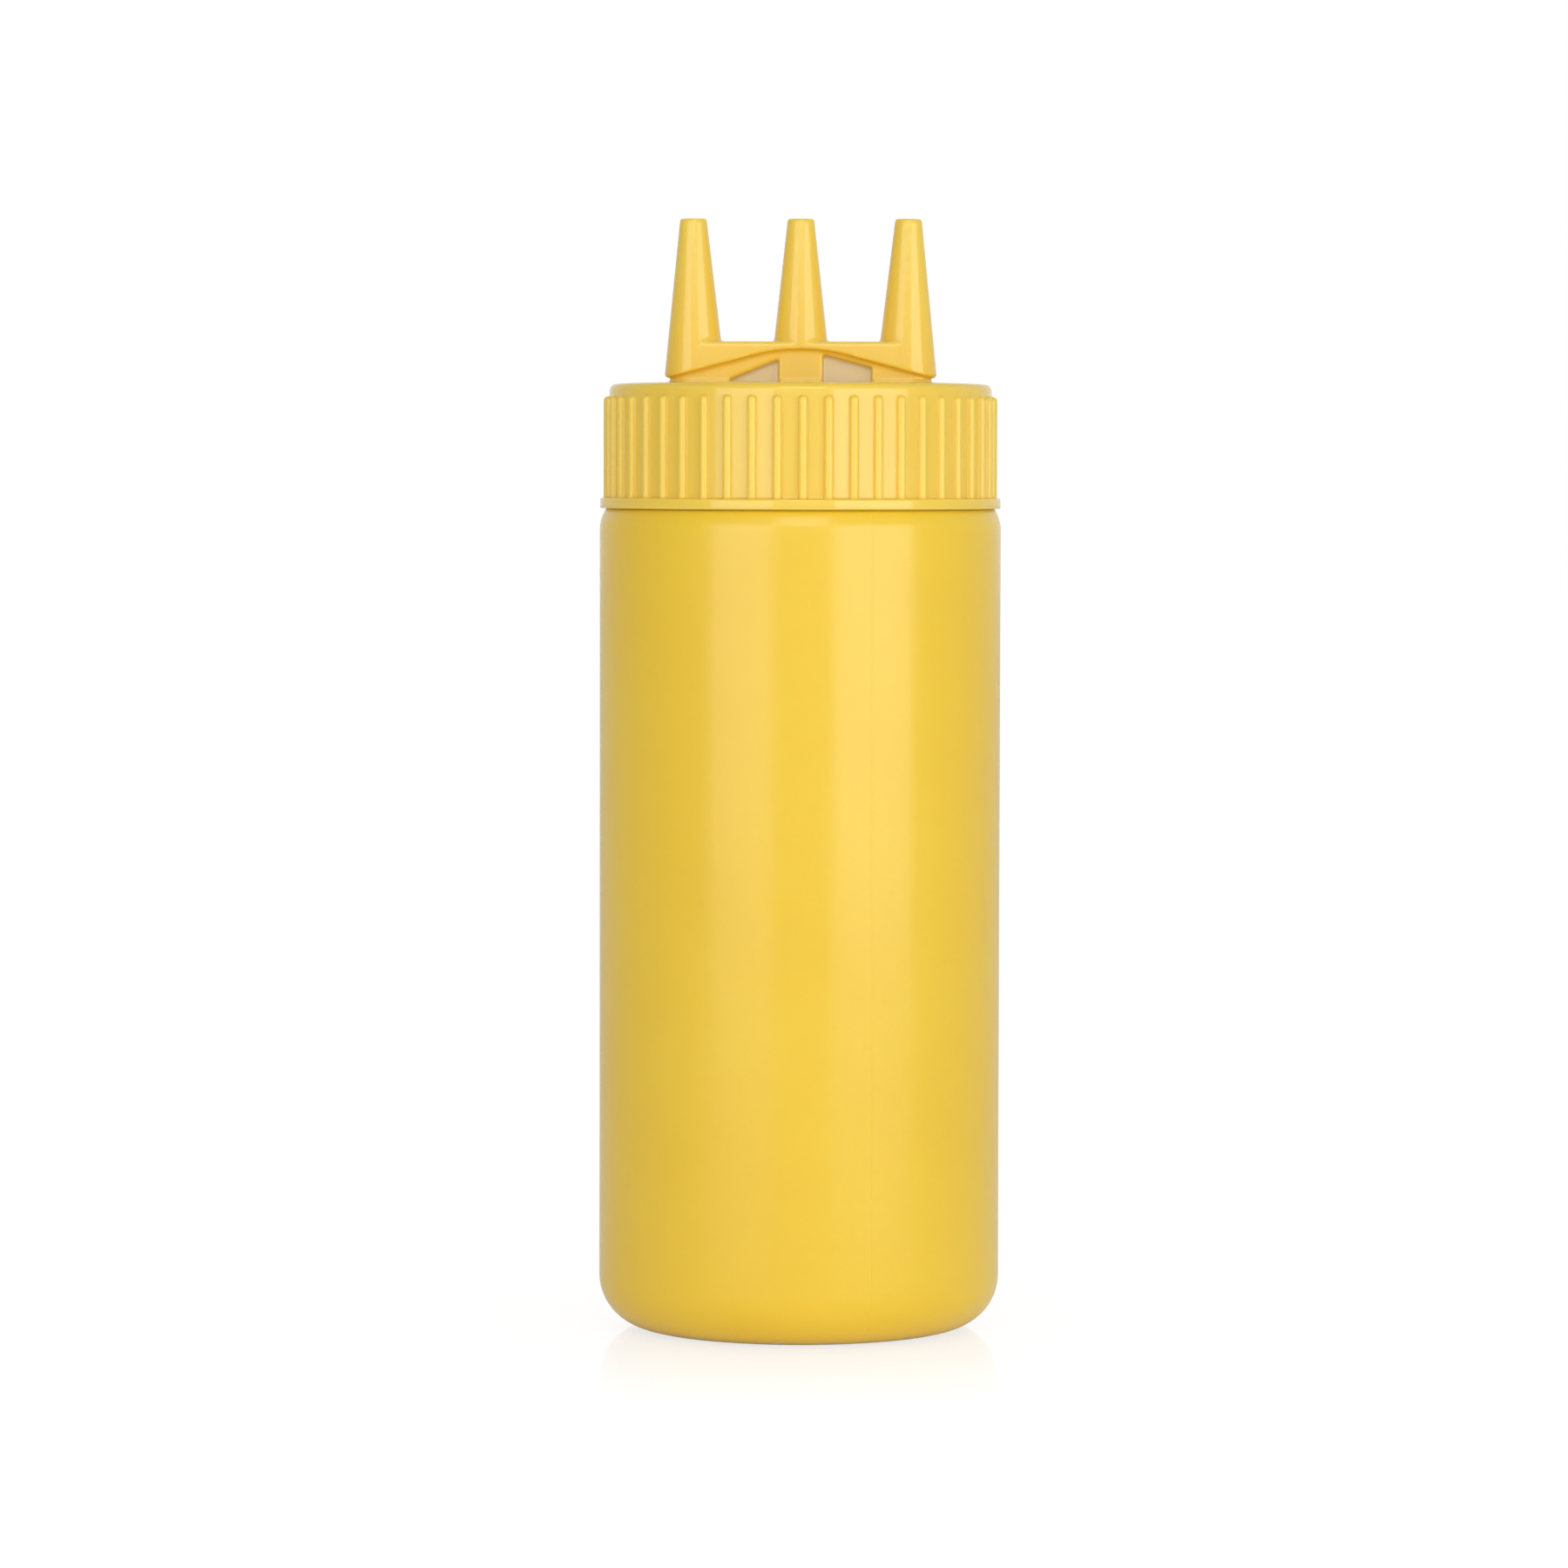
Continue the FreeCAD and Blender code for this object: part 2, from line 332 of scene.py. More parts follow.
# %% [markdown]
# ## The cap
#
# The cap is injection moulded, so it is crisper than the bottle. Its skirt has 48 grip ribs with round crests
# and steep flanks, which end in small domes under the plate and run down into a flange. The ring for it has
# steps across each rib that crowd towards its flanks, and a few between two ribs. The first and last of those
# stand close to the flanks and keep their shading from spreading over the flat skirt.

# %% The ring that carries the ribs
flange_overhang = 1.6 * MM
rib_count = 48
rib_height = 1.0 * MM
rib_radius = 0.8 * MM
rib_turn = math.radians(0.6)
rib_root = 0.03 * MM
RIB_STEPS = 12
GAP_STEPS = 3
GAP_HOLD = 0.12 * MM
DOME_NARROWEST = 0.3

skirt_radius = flange_radius - flange_overhang


def rib_places():
    """For each vertex of the ring: (angle of its rib, distance from the rib's middle, whether on the rib)."""
    pitch = 2 * math.pi / rib_count
    gap_start = rib_radius + GAP_HOLD
    gap_run = pitch * skirt_radius - 2 * gap_start
    places = []
    for index in range(rib_count):
        middle = rib_turn + index * pitch
        for step in range(RIB_STEPS + 1):
            places.append((middle, -rib_radius * math.cos(math.pi * step / RIB_STEPS), True))
        for step in range(GAP_STEPS + 1):
            places.append((middle, gap_start + gap_run * step / GAP_STEPS, False))
    return places


ring_places = rib_places()
print(len(ring_places), "vertices in the ring")

# %% [markdown]
# Seen from the front, a rib's upper end is a half circle. So a place on the rib is known by how far inside that
# outline it lies, and one rule gives the height of the crest, the flanks and the domed end.

# %% How far a rib stands out
def rib_lift(across, rise):
    """Height of a rib over the skirt, across from its middle and rise above the centre of its round end."""
    from_centre = math.hypot(across, rise)
    if from_centre >= rib_radius:
        return 0.0
    root = min((rib_radius - from_centre) / rib_root, 1.0) * (rib_height - rib_radius)
    return root + math.sqrt(rib_radius**2 - from_centre**2)


def cap_point(index, station):
    """Where a ring vertex goes; a station's rise is above the ribs' round ends, or None without ribs."""
    radius, height, rise = station
    middle, across, on_rib = ring_places[index]
    lift = 0.0
    if on_rib and rise is not None:
        across *= max(math.sqrt(max(1 - (rise / rib_radius) ** 2, 0)), DOME_NARROWEST)
        lift = rib_lift(across, rise)
    return polar(radius + lift, middle + across / skirt_radius, height)


# %% [markdown]
# The stations go from the middle of the top plate out over its crowned border, down the ribs, round the flange
# and up inside to the ceiling. They crowd towards the ribs' tops, where the surface turns over.

# %% The cap's shell
plate_thickness = 2.0 * MM
plate_corner = 1.2 * MM
crown_width = 9.0 * MM
crown_drop = 0.25 * MM
rib_top_gap = 2.4 * MM
flange_height = 1.8 * MM
flange_edge = 0.3 * MM
skirt_wall = 1.45 * MM
DOME_ROWS = 8

plate_top_z = rim_z + plate_thickness
flange_top_z = skirt_bottom_z + flange_height


def cap_stations():
    """(radius, height, rise) from the top plate to the ceiling inside."""
    border_radius = skirt_radius - plate_corner
    skirt_inner = skirt_radius - skirt_wall
    plain = [(POLE, plate_top_z)]
    plain += sagged((skirt_radius - crown_width, plate_top_z), border_radius, crown_drop, 8)
    plain += rounding((border_radius, plain[-1][1] - plate_corner), plate_corner, 86, 0, 8)
    stations = [(r, z, None) for r, z in held(plain)]
    dome_z = plate_top_z - rib_top_gap - rib_radius
    stations.append((skirt_radius, dome_z + rib_radius + GAP_HOLD, None))
    for row in range(DOME_ROWS, -1, -1):
        rise = rib_radius * math.sin(math.pi / 2 * row / DOME_ROWS)
        stations.append((skirt_radius, dome_z + rise, rise))
    stations += [(skirt_radius, flange_top_z + HOLD, 0.0), (skirt_radius, flange_top_z, 0.0)]
    edge_radius = flange_radius - flange_edge
    below = rounding((edge_radius, flange_top_z - flange_edge), flange_edge, 90, 0, 4)
    low_edge = flange_edge / 2
    below += rounding((flange_radius - low_edge, skirt_bottom_z + low_edge), low_edge, 0, -90, 4)
    below += [(skirt_inner, skirt_bottom_z), (skirt_inner, rim_z), (POLE, rim_z)]
    return stations + [(r, z, None) for r, z in held(below)]


cap_shell = finished(ring_sweep(len(ring_places), cap_stations(), cap_point), "cap_shell")
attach(cap_shell, "root")
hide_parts("spout_cap")

# %% [markdown]
# ## The row of spouts
#
# The spouts, their bar and the web under it are one moulding with soft inner corners. The way here is solid
# modelling: simple closed forms are made first, then cut, then fused. The first form is a spout, turned from
# its section by bmesh's spin, leaned outwards and moved to its place in the row.

# %% Spouts and their bores
spout_pitch = 18.5 * MM
spout_splay = math.radians(0.65)
spout_tip_radius = 2.35 * MM
spout_taper = math.tan(math.radians(6.2))
spout_tip_edge = 0.25 * MM
tip_bore_radius = 1.4 * MM
root_bore_radius = 2.6 * MM
bar_height = 7.15 * MM
heel_gap = 1.3 * MM
heel_bevel_in = 0.95 * MM
heel_bevel_down = 0.8 * MM

bar_top_z = plate_top_z + bar_height
heel_z = plate_top_z + heel_gap


def spout_radius(height):
    return spout_tip_radius + (tip_z - height) * spout_taper


def lathe(section, steps):
    """A closed bmesh that a section, from axis to axis, makes in a full turn about Z."""
    bm = bmesh.new()
    chain = [bm.verts.new((r, 0, z)) for r, z in section]
    edges = [bm.edges.new(pair) for pair in zip(chain, chain[1:])]
    bmesh.ops.spin(
        bm, geom=chain + edges, cent=(0, 0, 0), axis=(0, 0, 1), angle=2 * math.pi, steps=steps, use_merge=True
    )
    bmesh.ops.remove_doubles(bm, verts=bm.verts, dist=1e-7)
    bmesh.ops.recalc_face_normals(bm, faces=bm.faces)
    return bm


def stood_in_row(bm, side):
    """Leans a form drawn on the axis outwards and moves it to its place; side is -1, 0 or 1."""
    lean = Matrix.Rotation(side * spout_splay, 3, "Y")
    bmesh.ops.rotate(bm, verts=bm.verts, cent=(0, 0, bar_top_z), matrix=lean)
    bmesh.ops.translate(bm, verts=bm.verts, vec=(side * spout_pitch, 0, 0))
    return bm


def spout(side):
    """A tapered spout that runs down past the bar to its bevelled heel."""
    heel_radius = spout_radius(heel_z)
    section = [(0, heel_z - heel_bevel_down), (heel_radius - heel_bevel_in, heel_z - heel_bevel_down)]
    section.append((heel_radius, heel_z))
    section += rounding((spout_tip_radius - spout_tip_edge, tip_z - spout_tip_edge), spout_tip_edge, 0, 90, 4)
    section.append((0, tip_z))
    return stood_in_row(lathe(section, 96), side)


def bore(side):
    """The cutter for a spout's tapered flow channel."""
    over = 1 * MM
    slope = (root_bore_radius - tip_bore_radius) / (tip_z - rim_z)
    low_radius, high_radius = root_bore_radius + slope * over, tip_bore_radius - slope * over
    section = [(0, rim_z - over), (low_radius, rim_z - over), (high_radius, tip_z + over), (0, tip_z + over)]
    return stood_in_row(lathe(section, 48), side)


# %% [markdown]
# The other forms are prisms: an outline that is filled and extruded. The bar's faces follow the spouts' sides,
# with a rounding along the top. The arch that is cut away under it has two straight legs and a round crown.

# %% Bar and arch
bar_setback = 0.08 * MM
bar_edge = 0.5 * MM
arch_web = 1.3 * MM
arch_crown_radius = 32 * MM
arch_leg = math.radians(14.8)

arch_crown_z = bar_top_z - arch_web
face_y = spout_radius(plate_top_z)


def prism(points, run):
    """A closed flat outline, filled and extruded by run."""
    bm = bmesh.new()
    face = bm.faces.new([bm.verts.new(point) for point in points])
    made = bmesh.ops.extrude_face_region(bm, geom=[face])["geom"]
    bmesh.ops.translate(bm, verts=[item for item in made if isinstance(item, bmesh.types.BMVert)], vec=run)
    bmesh.ops.recalc_face_normals(bm, faces=bm.faces)
    return bm


def bar_half_width(height):
    return spout_radius(height) - bar_setback


def bar():
    half_top = bar_half_width(bar_top_z)
    top = rounding((half_top - bar_edge, bar_top_z - bar_edge), bar_edge, 6, 90, 6)
    right = [(bar_half_width(plate_top_z), plate_top_z)] + top
    outline = right + [(-y, z) for y, z in reversed(right)]
    return prism([(-spout_pitch, y, z) for y, z in outline], (2 * spout_pitch, 0, 0))


def arch(steps=24):
    half_span = spout_pitch + face_y + MM
    tangent_x = arch_crown_radius * math.sin(arch_leg)
    tangent_z = arch_crown_z - arch_crown_radius * (1 - math.cos(arch_leg))
    leg_end_z = tangent_z - (half_span - tangent_x) * math.tan(arch_leg)
    floor_z = plate_top_z - bar_height
    centre = (0, arch_crown_z - arch_crown_radius)
    leg_deg = math.degrees(arch_leg)
    crown = rounding(centre, arch_crown_radius, 90 + leg_deg, 90 - leg_deg, steps)
    outline = [(-half_span, floor_z), (-half_span, leg_end_z)] + crown
    outline += [(half_span, leg_end_z), (half_span, floor_z)]
    return prism([(x, -face_y - MM, z) for x, z in outline], (0, 2 * (face_y + MM), 0))


print("bar top at %.2f mm, arch crown at %.2f mm" % (bar_top_z / MM, arch_crown_z / MM))

# %% [markdown]
# A web with round ends stands back from the bar's faces and carries it on the plate. A low foot, a little wider
# than the web, fills the corner along the plate. Between the bores the web has a shallow pocket in both
# faces, which keeps the moulding from sinking as it cools. The pockets on the right (1) reach higher than those
# on the left (-1), so their two upper sizes are given for each side.

# %% Web and pockets
web_setback = 1.0 * MM
web_reach = 4.2 * MM
web_foot = 0.3 * MM
middle_post = 1.15 * MM
outer_post = 3.5 * MM
pocket_rim = {-1: 1.7 * MM, 1: 0.85 * MM}
pocket_low_side = {-1: 0.6 * MM, 1: 2.7 * MM}
panel_thickness = 4.8 * MM

web_half_width = bar_half_width(bar_top_z) - web_setback
pocket_inner = root_bore_radius + middle_post
pocket_outer = spout_pitch - root_bore_radius - outer_post


def web(low_z, high_z, spread=0.0):
    """The web between two heights, with round ends; spread makes it wider all round."""
    half_width = web_half_width + spread
    straight = spout_pitch + web_reach - web_half_width
    outline = rounding((straight, 0), half_width, -90, 90, 24) + rounding((-straight, 0), half_width, 90, 270, 24)
    return prism([(x, y, low_z) for x, y in outline], (0, 0, high_z - low_z))


def pocket(side, face):
    """The cutter for one pocket, left or right by side and front or back by face."""
    points = [
        (side * pocket_inner, rim_z),
        (side * pocket_outer, rim_z),
        (side * pocket_outer, plate_top_z + pocket_low_side[side]),
        (side * pocket_inner, arch_crown_z - pocket_rim[side]),
    ]
    floor_y = face * panel_thickness / 2
    return prism([(x, floor_y, z) for x, z in points], (0, face * face_y - floor_y, 0))


print("pockets from %.2f to %.2f mm off the middle" % (pocket_inner / MM, pocket_outer / MM))

# %% [markdown]
# Booleans cut the forms one by one, which keeps each cut simple. The joined forms are then fused by a voxel
# remesh, whose cells are finer than any rounding here, and a few passes of smoothing leave the small fillets
# that molten plastic fills. The bores are cut through the cap's plate as well.

# %% Helpers to cut and join
def stood_in(bm, name):
    """A bmesh as a helper object, for a boolean to use."""
    mesh = bpy.data.meshes.new(name)
    bm.to_mesh(mesh)
    bm.free()
    item = bpy.data.objects.new(name, mesh)
    bpy.context.scene.collection.objects.link(item)
    return item


def settle(item):
    """Applies an object's modifiers to its mesh."""
    graph = bpy.context.evaluated_depsgraph_get()
    mesh = bpy.data.meshes.new_from_object(item.evaluated_get(graph))
    item.modifiers.clear()
    item.data = mesh
    return item


def carve(item, tools):
    for tool in tools:
        cut = item.modifiers.new("cut", "BOOLEAN")
        cut.operation = "DIFFERENCE"
        cut.solver = "EXACT"
        cut.object = tool
    return settle(item)


def joined(items):
    bm = bmesh.new()
    for item in items:
        bm.from_mesh(item.data)
        bpy.data.objects.remove(item)
    return bm


# %% Cut the forms
SIDES = (-1, 0, 1)

arch_tools = [stood_in(arch(), "arch_tool")]
pocket_tools = [stood_in(pocket(side, face), "pocket_tool") for side in (-1, 1) for face in (-1, 1)]
bore_tools = [stood_in(bore(side), "bore_tool") for side in SIDES]

upper_forms = [carve(stood_in(form, "form"), arch_tools) for form in [bar()] + [spout(side) for side in SIDES]]
web_root = 0.6 * MM
sunk_z = plate_top_z - web_root
web_form = carve(stood_in(web(sunk_z, arch_crown_z + arch_web / 2), "form"), pocket_tools)
foot_form = carve(stood_in(web(sunk_z, plate_top_z + web_foot, web_foot), "form"), pocket_tools)
forms = [carve(form, bore_tools) for form in upper_forms + [web_form, foot_form]]
print(len(forms), "forms")

# %% Fuse them
VOXEL = 0.23 * MM
SOFTENING = 5

spout_row = stood_in(joined(forms), "spout_row")
fuse = spout_row.modifiers.new("fuse", "REMESH")
fuse.mode = "VOXEL"
fuse.voxel_size = VOXEL
settle(spout_row)
soft = joined([spout_row])
for _ in range(SOFTENING):
    bmesh.ops.smooth_vert(soft, verts=soft.verts, factor=0.5, use_axis_x=True, use_axis_y=True, use_axis_z=True)
spout_row = finished(soft, "spout_row")
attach(spout_row, "root")
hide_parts("spout_cap")

carve(cap_shell, bore_tools)
for tool in arch_tools + pocket_tools + bore_tools:
    bpy.data.objects.remove(tool)

# %% [markdown]
# ## The finishes
#
# Node materials are easier to read when a node is made in one line. This helper makes a node, sets its
# settings, and gives each named input either a value or another node's output.

# %% A helper for nodes
def add_node(tree, kind, inputs=None, **settings):
    item = tree.nodes.new(kind)
    for name, value in settings.items():
        setattr(item, name, value)
    for socket, value in (inputs or {}).items():
        if isinstance(value, bpy.types.NodeSocket):
            tree.links.new(value, item.inputs[socket])
        else:
            item.inputs[socket].default_value = value
    return item


def scaled(tree, value, factor, offset=0.0):
    """value * factor + offset, as a node's output."""
    inputs = {0: value, 1: factor, 2: offset}
    return add_node(tree, "ShaderNodeMath", inputs, operation="MULTIPLY_ADD").outputs[0]


# %% [markdown]
# Both mouldings share the skin of coloured polythene: the pigment is never mixed quite evenly, the surface has
# a very fine grain, faint streaks run the way the plastic flowed, handling leaves small patches of scuffs, and
# a few specks of dust or unmelted pigment sit in it. That makes one node group, which puts out five patterns.
# Each material weighs them by itself.

# %% The moulded skin, as a group
def moulded_skin():
    group = bpy.data.node_groups.new("moulded_skin", "ShaderNodeTree")
    group.interface.new_socket("Position", in_out="INPUT", socket_type="NodeSocketVector")
    group.interface.new_socket("Streak Length", in_out="INPUT", socket_type="NodeSocketFloat")
    for name in ("Tone", "Grain", "Streaks", "Scuffs", "Specks"):
        group.interface.new_socket(name, in_out="OUTPUT", socket_type="NodeSocketFloat")
    given = add_node(group, "NodeGroupInput")
    position = given.outputs["Position"]

    cloud = add_node(group, "ShaderNodeTexNoise", {"Vector": position, "Scale": 38.0, "Detail": 3.0})
    grain = add_node(group, "ShaderNodeTexNoise", {"Vector": position, "Scale": 2600.0, "Detail": 1.0})

    squeeze = add_node(group, "ShaderNodeMath", {0: 1.0, 1: given.outputs["Streak Length"]}, operation="DIVIDE")
    stretch = add_node(group, "ShaderNodeCombineXYZ", {"X": 1.0, "Y": 1.0, "Z": squeeze.outputs[0]})
    drawn_out = add_node(
        group, "ShaderNodeVectorMath", {0: position, 1: stretch.outputs[0]}, operation="MULTIPLY"
    )
    streaks = add_node(
        group, "ShaderNodeTexNoise", {"Vector": drawn_out.outputs[0], "Scale": 330.0, "Detail": 2.0}
    )

    patches = add_node(group, "ShaderNodeTexNoise", {"Vector": position, "Scale": 55.0, "Detail": 2.0})
    rubbed = add_node(
        group, "ShaderNodeMapRange", {"Value": patches.outputs["Fac"], "From Min": 0.5, "From Max": 0.66}
    )
    marks = add_node(
        group, "ShaderNodeTexNoise", {"Vector": position, "Scale": 1500.0, "Detail": 4.0, "Roughness": 0.7}
    )
    marked = add_node(
        group, "ShaderNodeMapRange", {"Value": marks.outputs["Fac"], "From Min": 0.5, "From Max": 0.62}
    )
    scuffs = add_node(group, "ShaderNodeMath", {0: rubbed.outputs[0], 1: marked.outputs[0]}, operation="MULTIPLY")

    cells = add_node(group, "ShaderNodeTexVoronoi", {"Vector": position, "Scale": 260.0})
    near = add_node(
        group,
        "ShaderNodeMapRange",
        {"Value": cells.outputs["Distance"], "From Min": 0.06, "From Max": 0.03, "To Min": 0.0, "To Max": 1.0},
    )
    pick = add_node(group, "ShaderNodeSeparateColor", {"Color": cells.outputs["Color"]})
    few = add_node(group, "ShaderNodeMath", {0: pick.outputs[0], 1: 0.992}, operation="GREATER_THAN")
    specks = add_node(group, "ShaderNodeMath", {0: near.outputs[0], 1: few.outputs[0]}, operation="MULTIPLY")

    patterns = {
        "Tone": cloud.outputs["Fac"],
        "Grain": grain.outputs["Fac"],
        "Streaks": streaks.outputs["Fac"],
        "Scuffs": scuffs.outputs[0],
        "Specks": specks.outputs[0],
    }
    add_node(group, "NodeGroupOutput", patterns)
    return group


skin_group = moulded_skin()
print("skin group with", len(skin_group.nodes), "nodes")


# %% [markdown]
# Polythene is slightly cloudy: light enters it, scatters and comes out a little further on, which softens the
# shade in every groove. The shader's subsurface sockets do that, with red light reaching furthest. This helper
# starts a material with those sockets set and the skin group in place.

# %% A start for both plastics
plastic_ior = 1.6
scatter_share = 0.5
scatter_depth = 2.0 * MM
scatter_reach = (1.0, 0.8, 0.25)


def polythene(name, streak_length):
    """A material whose shader has polythene's fixed values, and the skin group's node in it."""
    material = bpy.data.materials.new(name)
    material.use_nodes = True
    tree = material.node_tree
    shader = tree.nodes["Principled BSDF"]
    shader.inputs["IOR"].default_value = plastic_ior
    shader.inputs["Subsurface Weight"].default_value = scatter_share
    shader.inputs["Subsurface Radius"].default_value = scatter_reach
    shader.inputs["Subsurface Scale"].default_value = scatter_depth
    place = add_node(tree, "ShaderNodeTexCoord")
    skin = add_node(tree, "ShaderNodeGroup", node_tree=skin_group)
    skin.inputs["Streak Length"].default_value = streak_length
    tree.links.new(place.outputs["Object"], skin.inputs["Position"])
    return material, tree, shader, place, skin


COLOUR_A, COLOUR_B, COLOUR_OUT = 6, 7, 2


def mixed(tree, share, first, second):
    """A colour between two, each a colour value or a node's output."""
    inputs = {"Factor": share}
    for socket, colour in ((COLOUR_A, first), (COLOUR_B, second)):
        inputs[socket] = colour if isinstance(colour, bpy.types.NodeSocket) else (*colour, 1)
    return add_node(tree, "ShaderNodeMix", inputs, data_type="RGBA").outputs[COLOUR_OUT]


def pigment(tree, skin, deep, bright, speck_colour):
    """The plastic's colour: cloudy between a deep and a bright tone, with the specks over it."""
    spread = add_node(
        tree, "ShaderNodeMapRange", {"Value": skin.outputs["Tone"], "From Min": 0.3, "From Max": 0.7}
    )
    cloudy = mixed(tree, spread.outputs[0], deep, bright)
    return mixed(tree, skin.outputs["Specks"], cloudy, speck_colour)


def gloss(tree, shader, skin, base, streak_share, scuff_share):
    """Roughness: a base value, a little more or less along the streaks, and more where it is scuffed."""
    streaked = scaled(tree, skin.outputs["Streaks"], streak_share, base - streak_share / 2)
    scuffed = scaled(tree, skin.outputs["Scuffs"], scuff_share, streaked)
    tree.links.new(scuffed, shader.inputs["Roughness"])


def relief(tree, shader, skin, grain_mm, streak_mm):
    """Fine unevenness of the surface, with the depths of the grain and of the streaks in millimetres."""
    grain = scaled(tree, skin.outputs["Grain"], grain_mm)
    height = scaled(tree, skin.outputs["Streaks"], streak_mm, grain)
    bump = add_node(tree, "ShaderNodeBump", {"Strength": 1.0, "Distance": MM, "Height": height})
    tree.links.new(bump.outputs["Normal"], shader.inputs["Normal"])


# %% [markdown]
# The blown bottle is the softer of the two in its gloss, because its skin cools against a lightly blasted
# mould, and its streaks are long, since the hot tube was drawn downwards.

# %% The bottle's finish
bottle_plastic, tree, shader, place, skin = polythene("bottle_plastic", streak_length=14.0)
bottle_colour = pigment(
    tree, skin, deep=(0.905, 0.608, 0.031), bright=(0.94, 0.637, 0.037), speck_colour=(0.75, 0.47, 0.03)
)
tree.links.new(bottle_colour, shader.inputs["Base Color"])
gloss(tree, shader, skin, base=0.21, streak_share=0.04, scuff_share=0.05)
relief(tree, shader, skin, grain_mm=0.003, streak_mm=0.014)
for piece in (bottle_shell, base_weld):
    piece.data.materials.append(bottle_plastic)
print(bottle_plastic.name, len(tree.nodes), "nodes")

# %% [markdown]
# The cap was pressed against polished steel, so it is glossier. The floors of the four pockets get a pale beige
# painted into their colour, which is painted shade with a pale reflection in it, not a tone of the plastic. That
# tone is placed by position: a compare node gives 1 within a range of one coordinate, and three are multiplied.

# %% The cap's finish
# Margins of the mask for the painted shade on the pockets' floors.
mask_margin = 0.2 * MM
floor_margin = 0.25 * MM


def within(tree, value, low, high):
    """1 where value lies between low and high, and 0 elsewhere."""
    inputs = {0: value, 1: (low + high) / 2, 2: (high - low) / 2}
    return add_node(tree, "ShaderNodeMath", inputs, operation="COMPARE").outputs[0]


def times(tree, first, second):
    return add_node(tree, "ShaderNodeMath", {0: first, 1: second}, operation="MULTIPLY").outputs[0]


def painted_pocket_shade_mask(tree, place):
    """1 on the floors of the pockets, where the painted shade and reflection go."""
    at = add_node(tree, "ShaderNodeSeparateXYZ", {"Vector": place.outputs["Object"]})
    from_middle = add_node(tree, "ShaderNodeMath", {0: at.outputs["X"]}, operation="ABSOLUTE").outputs[0]
    floor_y = panel_thickness / 2 + floor_margin
    across = within(tree, from_middle, pocket_inner - mask_margin, pocket_outer + mask_margin)
    deep = within(tree, at.outputs["Y"], -floor_y, floor_y)
    high = within(tree, at.outputs["Z"], plate_top_z - mask_margin, arch_crown_z)
    return times(tree, times(tree, across, deep), high)


cap_plastic, tree, shader, place, skin = polythene("cap_plastic", streak_length=4.0)
cap_colour = pigment(
    tree, skin, deep=(0.945, 0.632, 0.076), bright=(0.97, 0.657, 0.086), speck_colour=(0.75, 0.47, 0.04)
)
# The pockets' floors get painted shade with a pale reflection in it, mixed into the cap's colour.
painted_pocket_shade = (0.77, 0.63, 0.36)
tree.links.new(mixed(tree, painted_pocket_shade_mask(tree, place), cap_colour, painted_pocket_shade), shader.inputs["Base Color"])
gloss(tree, shader, skin, base=0.09, streak_share=0.03, scuff_share=0.05)
relief(tree, shader, skin, grain_mm=0.002, streak_mm=0.006)
for piece in (cap_shell, spout_row):
    piece.data.materials.clear()
    piece.data.materials.append(cap_plastic)
print(cap_plastic.name, len(tree.nodes), "nodes")

# %% [markdown]
# ## The studio
#
# A pale floor runs far back. To the camera it is mixed with a plain white glow, so that it meets the white
# surroundings without an edge and still keeps part of its shading, which is the bottle's soft shadow. A faint
# polish mirrors the base and fades out with the distance from it. Other rays see matt paper, which lights the
# bottle from below as real paper would, and the bottle's gloss sees a little of the glow as well.

# %% Floor
floor_reach = 6
floor_bm = bmesh.new()
bmesh.ops.create_grid(floor_bm, x_segments=1, y_segments=1, size=floor_reach)
floor = finished(floor_bm, "floor")
floor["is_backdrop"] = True

glow_strength = 1.15
glow_share = 0.8
mirror_share = 0.1
polish_share = 0.2
polish_start, polish_end = 30 * MM, 105 * MM

floor_paper = bpy.data.materials.new("floor_paper")
floor_paper.use_nodes = True
tree = floor_paper.node_tree
paper = tree.nodes["Principled BSDF"]
paper.inputs["Roughness"].default_value = 0.45
fibres = add_node(tree, "ShaderNodeTexNoise", {"Scale": 400.0, "Detail": 2.0})
paper_colour = mixed(tree, fibres.outputs["Fac"], (0.92, 0.92, 0.92), (0.94, 0.94, 0.94))
tree.links.new(paper_colour, paper.inputs["Base Color"])
path = add_node(tree, "ShaderNodeLightPath").outputs
seen = path["Is Camera Ray"]
glow = add_node(tree, "ShaderNodeEmission", {"Color": (1, 1, 1, 1), "Strength": glow_strength})
mirrored = scaled(tree, path["Is Glossy Ray"], mirror_share)
glow_factor = scaled(tree, seen, glow_share, mirrored)
lit = add_node(tree, "ShaderNodeMixShader", {"Fac": glow_factor, 1: paper.outputs[0], 2: glow.outputs[0]})

spot = add_node(tree, "ShaderNodeTexCoord").outputs["Object"]
distance = add_node(tree, "ShaderNodeVectorMath", {0: spot}, operation="LENGTH").outputs["Value"]
fade = add_node(
    tree,
    "ShaderNodeMapRange",
    {"Value": distance, "From Min": polish_start, "From Max": polish_end, "To Min": polish_share, "To Max": 0.0},
)
polish = add_node(tree, "ShaderNodeBsdfAnisotropic", {"Color": (1, 1, 1, 1), "Roughness": 0.06})
polish_factor = add_node(tree, "ShaderNodeMath", {0: fade.outputs[0], 1: seen}, operation="MULTIPLY").outputs[0]
mix = add_node(tree, "ShaderNodeMixShader", {"Fac": polish_factor, 1: lit.outputs[0], 2: polish.outputs[0]})
tree.links.new(mix.outputs[0], tree.nodes["Material Output"].inputs["Surface"])
floor.data.materials.append(floor_paper)
print(floor_paper.name, len(tree.nodes), "nodes")

# %% [markdown]
# The world is the room's own soft light. It is stronger from the front and from behind, and a little stronger
# from the right. The part from behind brightens the bottle's edges, where the gloss mirrors what stands behind
# it. The camera sees plain white instead.

# %% World
room_light = 0.34
front_light = 0.69
back_light = 0.5
right_light = 0.2


